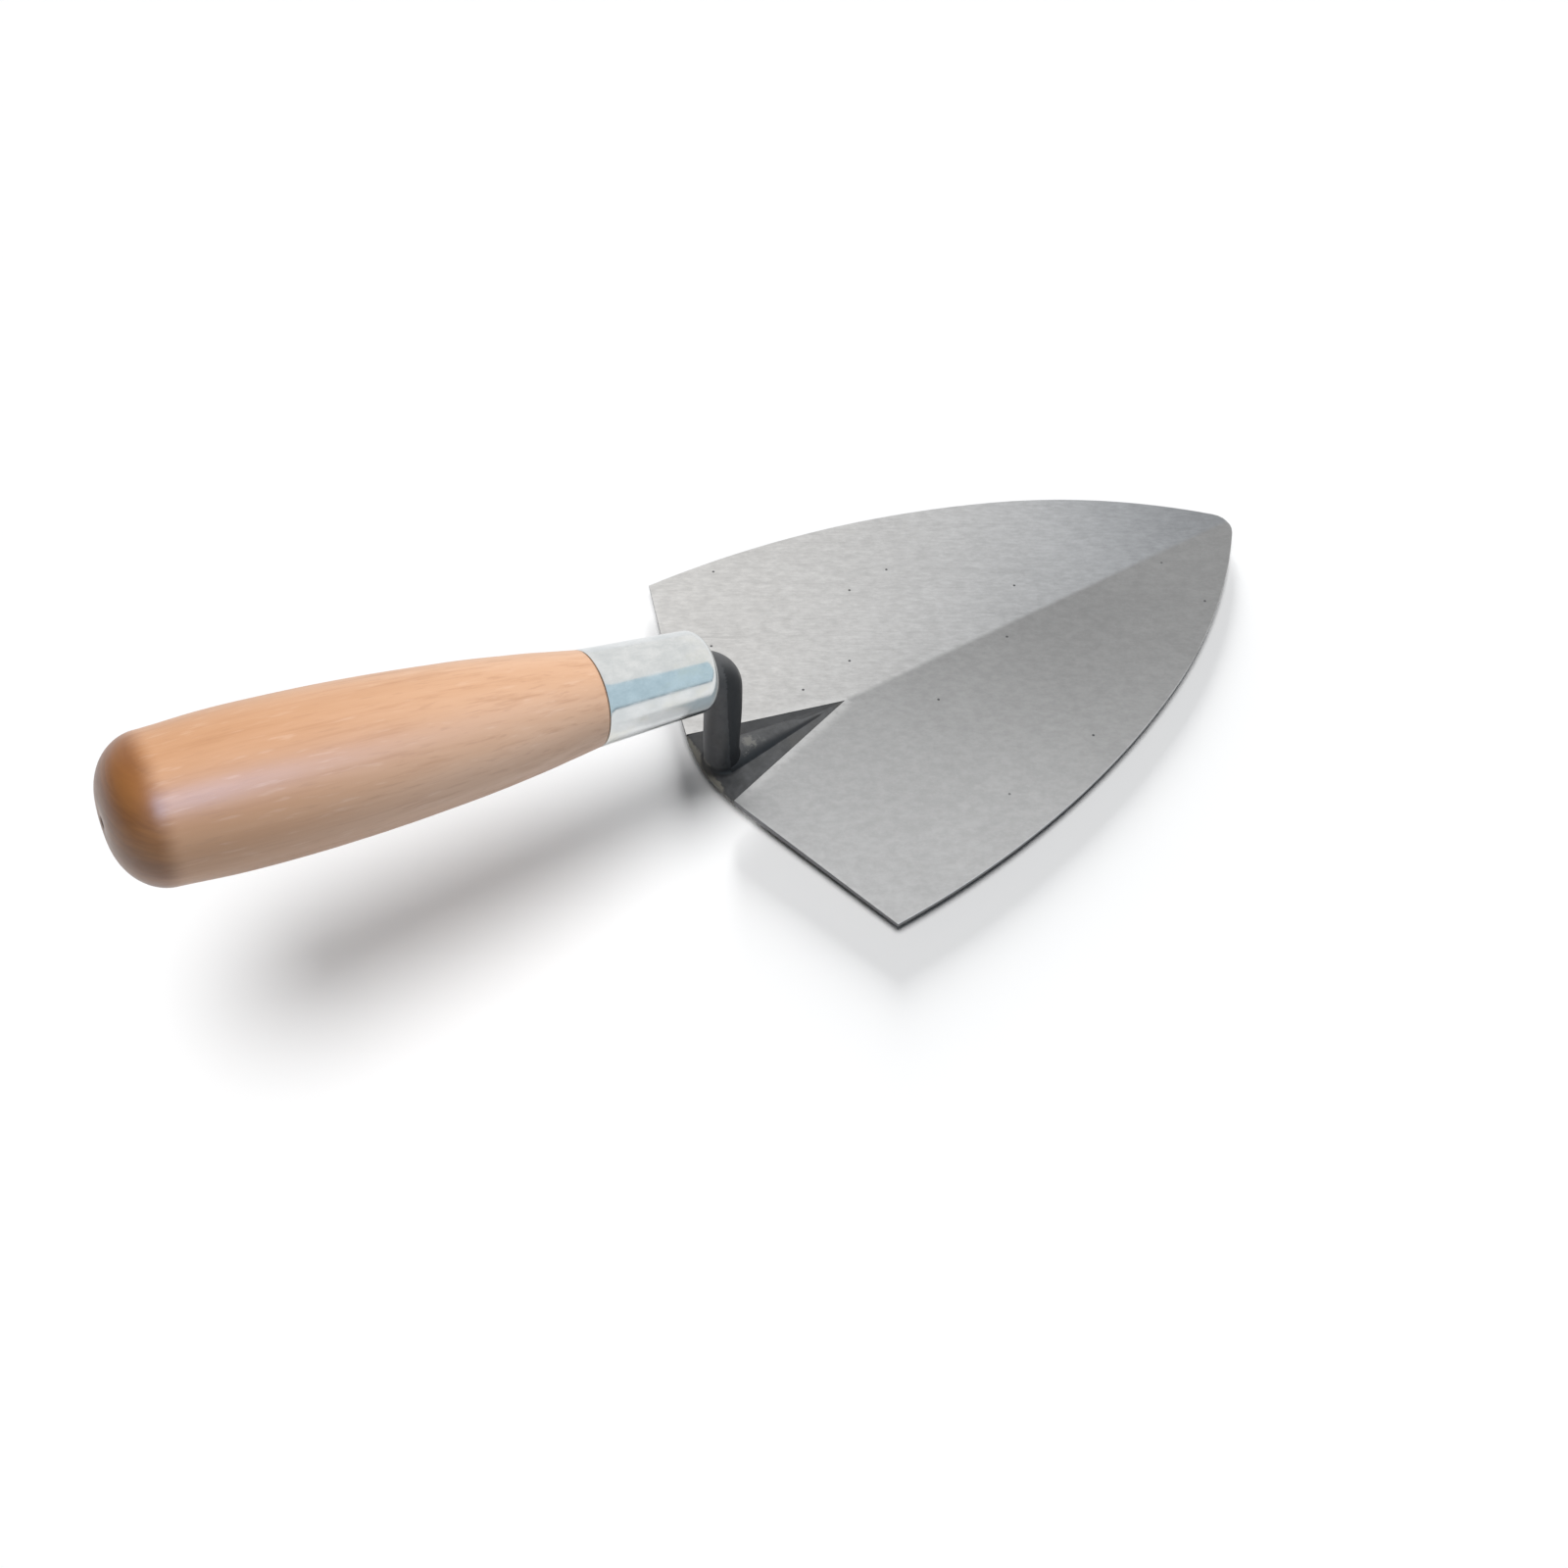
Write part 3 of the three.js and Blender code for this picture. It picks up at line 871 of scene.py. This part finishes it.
def forged_steel():
    """Dark forging scale with painted shade in its creases and on its near side, light spots of rubbing
    and painted glints on the spur, and bare along the bevel.
    """
    material, tree, shader = new_material("forged_steel")
    place = row_place(tree)
    scale_marks = grain(tree, stretched(tree, place, (240, 240, 160)), detail=6, roughness=0.65)
    patches = grain(tree, stretched(tree, place, (70, 70, 50)), detail=3)
    drawn = grain(tree, stretched(tree, place, (900, 900, 45)), detail=3)

    dark_scale, light_scale = (0.054, 0.055, 0.058), (0.099, 0.100, 0.105)
    brown_patch, painted_shade_colour = (0.080, 0.075, 0.068), (0.010, 0.010, 0.012)
    bare_metal, rub_and_glint_metal = (0.26, 0.25, 0.22), (0.16, 0.157, 0.15)

    tone = mix(tree, remap(tree, scale_marks, 0.3, 0.7), dark_scale, light_scale)
    tone = mix(tree, remap(tree, patches, 0.5, 0.75, 0, 0.5), tone, brown_patch)

    axes = add(tree, "ShaderNodeSeparateXYZ", {0: place})
    x, z = axes.outputs["X"], axes.outputs["Z"]
    ragged = math_of(tree, "MULTIPLY", math_of(tree, "SUBTRACT", scale_marks, 0.5), 0.004)
    back = remap(tree, math_of(tree, "ADD", x, ragged), HEEL.x + 0.0047, HEEL.x + 0.0041)
    low = remap(tree, math_of(tree, "ADD", z, ragged), 0.0056, 0.0046)
    bare = math_of(tree, "MULTIPLY", back, low)
    tone = mix(tree, bare, tone, bare_metal)
    # Painted shade in the creases by the bar's foot and along the spur, darkest on the near side
    painted_shade = math_of(tree, "MULTIPLY", remap(tree, attribute(tree, "crease"), 0.0, 0.8), 0.85)
    tone = mix(tree, painted_shade, tone, painted_shade_colour)
    # Light spots on the spur's crest: rubbing with painted glints
    spots = math_of(tree, "MULTIPLY", remap(tree, attribute(tree, "rub_and_glint"), 0.40, 0.62),
                    remap(tree, scale_marks, 0.50, 0.60))
    tone = mix(tree, spots, tone, rub_and_glint_metal)

    height = math_of(tree, "ADD", scale_marks, math_of(tree, "MULTIPLY", drawn, 0.35))
    feed(tree, shader, Base_Color=tone, Metallic=0.2,
         Roughness=remap(tree, scale_marks, 0.25, 0.75, 0.44, 0.62),
         Normal=bump(tree, height, 0.45, 0.00018))
    return material


def plated_steel():
    """Bright zinc plating with faint yellow blooms and fine drawing marks."""
    material, tree, shader = new_material("plated_steel")
    place = grip_place(tree)
    blooms = grain(tree, stretched(tree, place, (95, 95, 60)), detail=4, roughness=0.6)
    smears = grain(tree, stretched(tree, place, (210, 210, 150)), detail=5, roughness=0.7)
    drawn = grain(tree, stretched(tree, place, (1400, 1400, 60)), detail=3)
    dull_zinc, bright_zinc, yellow = (0.625, 0.65, 0.655), (0.76, 0.775, 0.775), (0.69, 0.685, 0.61)
    tone = mix(tree, remap(tree, smears, 0.3, 0.7), dull_zinc, bright_zinc)
    tone = mix(tree, remap(tree, blooms, 0.52, 0.72, 0, 0.6), tone, yellow)
    height = math_of(tree, "ADD", math_of(tree, "MULTIPLY", smears, 0.5), drawn)
    feed(tree, shader, Base_Color=tone, Metallic=1.0,
         Roughness=remap(tree, smears, 0.25, 0.75, 0.11, 0.20),
         Normal=bump(tree, height, 0.12, 0.00005))
    return material


def lathe_mark(tree, place):
    """1 inside the lathe's centre mark in the butt and 0 elsewhere."""
    axes = add(tree, "ShaderNodeSeparateXYZ", {0: place})
    plan = add(tree, "ShaderNodeCombineXYZ", {0: axes.outputs["X"], 1: axes.outputs["Y"]}).outputs[0]
    from_axis = add(tree, "ShaderNodeVectorMath", {0: plan}, operation="LENGTH").outputs["Value"]
    within = remap(tree, from_axis, MARK_RADIUS + 0.0005, MARK_RADIUS - 0.0002)
    at_butt = remap(tree, axes.outputs["Z"], HANDLE_END - 0.004, HANDLE_END - 0.003)
    return math_of(tree, "MULTIPLY", within, at_butt)


def varnished_wood():
    """Varnished pale hardwood: streaks and short flecks, warmer to the rear, with dark end grain."""
    material, tree, shader = new_material("varnished_wood")
    place = grip_place(tree)
    z = add(tree, "ShaderNodeSeparateXYZ", {0: place}).outputs["Z"]

    broad = grain(tree, stretched(tree, place, (75, 95, 7)), detail=4, roughness=0.6, distortion=0.4)
    fibres = grain(tree, stretched(tree, place, (620, 620, 26)), detail=4, roughness=0.65)
    flecks = grain(tree, stretched(tree, place, (900, 900, 130)), detail=2, roughness=0.5)

    front_pale, front_deep = (0.600, 0.335, 0.185), (0.520, 0.270, 0.135)
    rear_pale, rear_deep = (0.455, 0.212, 0.090), (0.394, 0.171, 0.066)
    end_pale, end_deep = (0.255, 0.086, 0.017), (0.162, 0.049, 0.009)

    tone = mix(tree, remap(tree, broad, 0.3, 0.7), front_pale, front_deep)
    tone = mix(tree, remap(tree, fibres, 0.45, 0.75, 0, 0.40), tone, (0.430, 0.205, 0.095))
    rear_tone = mix(tree, remap(tree, broad, 0.3, 0.7), rear_pale, rear_deep)
    tone = mix(tree, remap(tree, z, 0.055, CAP_START, 0, 0.9), tone, rear_tone)
    tone = mix(tree, remap(tree, fibres, 0.50, 0.75, 0, 0.25), tone, (0.330, 0.145, 0.060))
    tone = mix(tree, remap(tree, flecks, 0.60, 0.74, 0, 0.30), tone, (0.34, 0.155, 0.070))
    tone = mix(tree, remap(tree, flecks, 0.42, 0.26, 0, 0.20), tone, (0.66, 0.41, 0.26))
    rings = grain(tree, stretched(tree, place, (260, 34, 34)), detail=4, distortion=0.6)
    end_tone = mix(tree, remap(tree, rings, 0.3, 0.7), end_pale, end_deep)
    uneven = math_of(tree, "MULTIPLY", math_of(tree, "SUBTRACT", fibres, 0.5), 0.002)
    end = remap(tree, math_of(tree, "ADD", z, uneven), CAP_START - 0.0015, CAP_START + 0.0045)
    tone = mix(tree, end, tone, end_tone)

    in_mark = lathe_mark(tree, place)
    tone = mix(tree, math_of(tree, "MULTIPLY", in_mark, 0.8), tone, (0.035, 0.02, 0.014))

    height = math_of(tree, "ADD", math_of(tree, "MULTIPLY", fibres, 0.6), flecks)
    feed(tree, shader, Base_Color=tone, Metallic=0.0,
         Roughness=remap(tree, fibres, 0.25, 0.75, 0.46, 0.58), Specular_IOR_Level=0.25,
         Normal=bump(tree, height, 0.16, 0.00008),
         Coat_Weight=0.75, Coat_Roughness=0.38, Coat_IOR=1.48)
    return material


def paint(obj, material):
    """Gives the whole object one material."""
    obj.data.materials.clear()
    obj.data.materials.append(material)


# ---------------------------------------------------------------- the object


PIECES = [
    (blade_piece, "blade", "ground_steel", ground_steel),
    (shank_piece, "shank", "forged_steel", forged_steel),
    (ferrule_piece, "ferrule", "plated_steel", plated_steel),
    (handle_piece, "handle", "varnished_wood", varnished_wood),
]
for build, node, slot, finish in PIECES:
    piece = build()
    paint(piece, finish())
    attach(piece, "root")
    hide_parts(node)


# ---------------------------------------------------------------- studio


FLOOR_DROP = 3 * MM  # the gap lets the thin blade throw a soft shadow
FLOOR_HALF = 3.0
AMBIENT = (0.052, 0.060, 0.068)  # light from all round


def floor():
    """A plain white floor. Its bounce is weaker than its look, so the handle keeps a darker side."""
    material, tree, shader = new_material("studio_floor")
    bounced = add(tree, "ShaderNodeLightPath").outputs["Is Diffuse Ray"]
    tone = mix(tree, bounced, (0.95, 0.95, 0.95), (0.60, 0.60, 0.60))
    feed(tree, shader, Base_Color=tone, Roughness=0.9, Specular_IOR_Level=0.0)
    signs = ((-1, -1), (1, -1), (1, 1), (-1, 1))
    corners = [(x * FLOOR_HALF, y * FLOOR_HALF) for x, y in signs]
    plane = mesh_object("studio_floor", [[Vector((x, y, -FLOOR_DROP)) for x, y in corners]])
    paint(plane, material)


def area_light(name, direction, distance, size, power, colour):
    """A soft panel that faces the middle of the object."""
    light = bpy.data.lights.new(name, "AREA")
    light.shape = "RECTANGLE"
    light.size, light.size_y = size
    light.energy = power
    light.color = colour
    panel = bpy.data.objects.new(name, light)
    toward = Vector(direction).normalized()
    panel.location = toward * distance
    panel.rotation_euler = toward.to_track_quat("Z", "Y").to_euler()
    bpy.context.scene.collection.objects.link(panel)
    return panel


def sun(name, direction, softness, strength):
    """A distant light; softness is its width in degrees."""
    light = bpy.data.lights.new(name, "SUN")
    light.angle = math.radians(softness)
    light.energy = strength
    lamp = bpy.data.objects.new(name, light)
    lamp.rotation_euler = Vector(direction).to_track_quat("Z", "Y").to_euler()
    bpy.context.scene.collection.objects.link(lamp)
    return lamp


def light_group(name, members, state):
    """A collection for light linking. Its state is INCLUDE or EXCLUDE, and holds for every member."""
    group = bpy.data.collections.new(name)
    for member in members:
        group.objects.link(bpy.data.objects[member])
    for entry in group.collection_objects:
        entry.light_linking.link_state = state
    return group


def world():
    """Pale backdrop, dim as a light. Reflections see pale walls, a blue window and a dark far end."""
    surroundings = bpy.data.worlds.new("studio")
    surroundings.use_nodes = True
    tree = surroundings.node_tree
    toward = add(tree, "ShaderNodeTexCoord").outputs["Generated"]
    axes = add(tree, "ShaderNodeSeparateXYZ", {0: toward})
    near_side = remap(tree, axes.outputs["Y"], -0.32, -0.34)
    above_horizon = remap(tree, axes.outputs["Z"], 0.035, 0.055)
    far_end = remap(tree, axes.outputs["X"], -0.15, -0.75)
    walls = mix(tree, far_end, (0.99, 0.985, 0.975), (0.25, 0.24, 0.23))
    window = mix(tree, above_horizon, (0.22, 0.29, 0.34), (0.61, 0.77, 0.86))
    seen = mix(tree, near_side, walls, window)
    ray = add(tree, "ShaderNodeLightPath")
    tone = mix(tree, ray.outputs["Is Glossy Ray"], AMBIENT, seen)
    tone = mix(tree, ray.outputs["Is Camera Ray"], tone, (1.0, 1.0, 1.0))
    tree.links.new(tone, tree.nodes["Background"].inputs["Color"])
    bpy.context.scene.world = surroundings


def camera():
    """Looks down over the near side of the handle."""
    azimuth = math.radians(239.18)
    elevation = math.radians(54.79)
    distance = 0.4302
    aim = HEEL + Vector((21.5, -15.1, -1.1)) * MM
    back = Vector((
        math.cos(azimuth) * math.cos(elevation),
        math.sin(azimuth) * math.cos(elevation),
        math.sin(elevation),
    ))
    lens = bpy.data.cameras.new("camera")
    lens.lens = 33.604
    lens.sensor_width = 36
    lens.clip_start = 0.01
    viewer = bpy.data.objects.new("camera", lens)
    viewer.location = aim + back * distance
    viewer.rotation_euler = back.to_track_quat("Z", "Y").to_euler()
    bpy.context.scene.collection.objects.link(viewer)
    bpy.context.scene.camera = viewer


floor()
world()
floor_only = light_group("floor_only", ["studio_floor"], "INCLUDE")
not_floor = light_group("not_floor", ["studio_floor"], "EXCLUDE")

# Two suns light only the floor. Nothing but the blade stands in the way of the low one.
overhead = sun("overhead", (-0.07, 0.0, 1.0), softness=33, strength=2.16)
overhead.light_linking.receiver_collection = floor_only
skim = sun("skim", (0.51, 0.86, 0.18), softness=14, strength=5.7)
skim.light_linking.receiver_collection = floor_only
skim.light_linking.blocker_collection = light_group("flat_pieces", ["blade_ground"], "INCLUDE")

# The key lights everything but the floor, and the fill only the handle
key = area_light("key", (0.24, 0.14, 1.0), distance=1.3, size=(0.8, 0.8), power=21.3,
                 colour=(0.99, 1.0, 0.98))
key.light_linking.receiver_collection = not_floor
key.visible_glossy = False
fill = area_light("fill", (-0.02, -0.57, 0.80), distance=1.3, size=(0.90, 0.50), power=20,
                  colour=(0.33, 0.56, 1.0))
fill.light_linking.receiver_collection = light_group("handle_only", ["handle_turned"], "INCLUDE")
camera()
bpy.context.scene.view_settings.view_transform = "Standard"
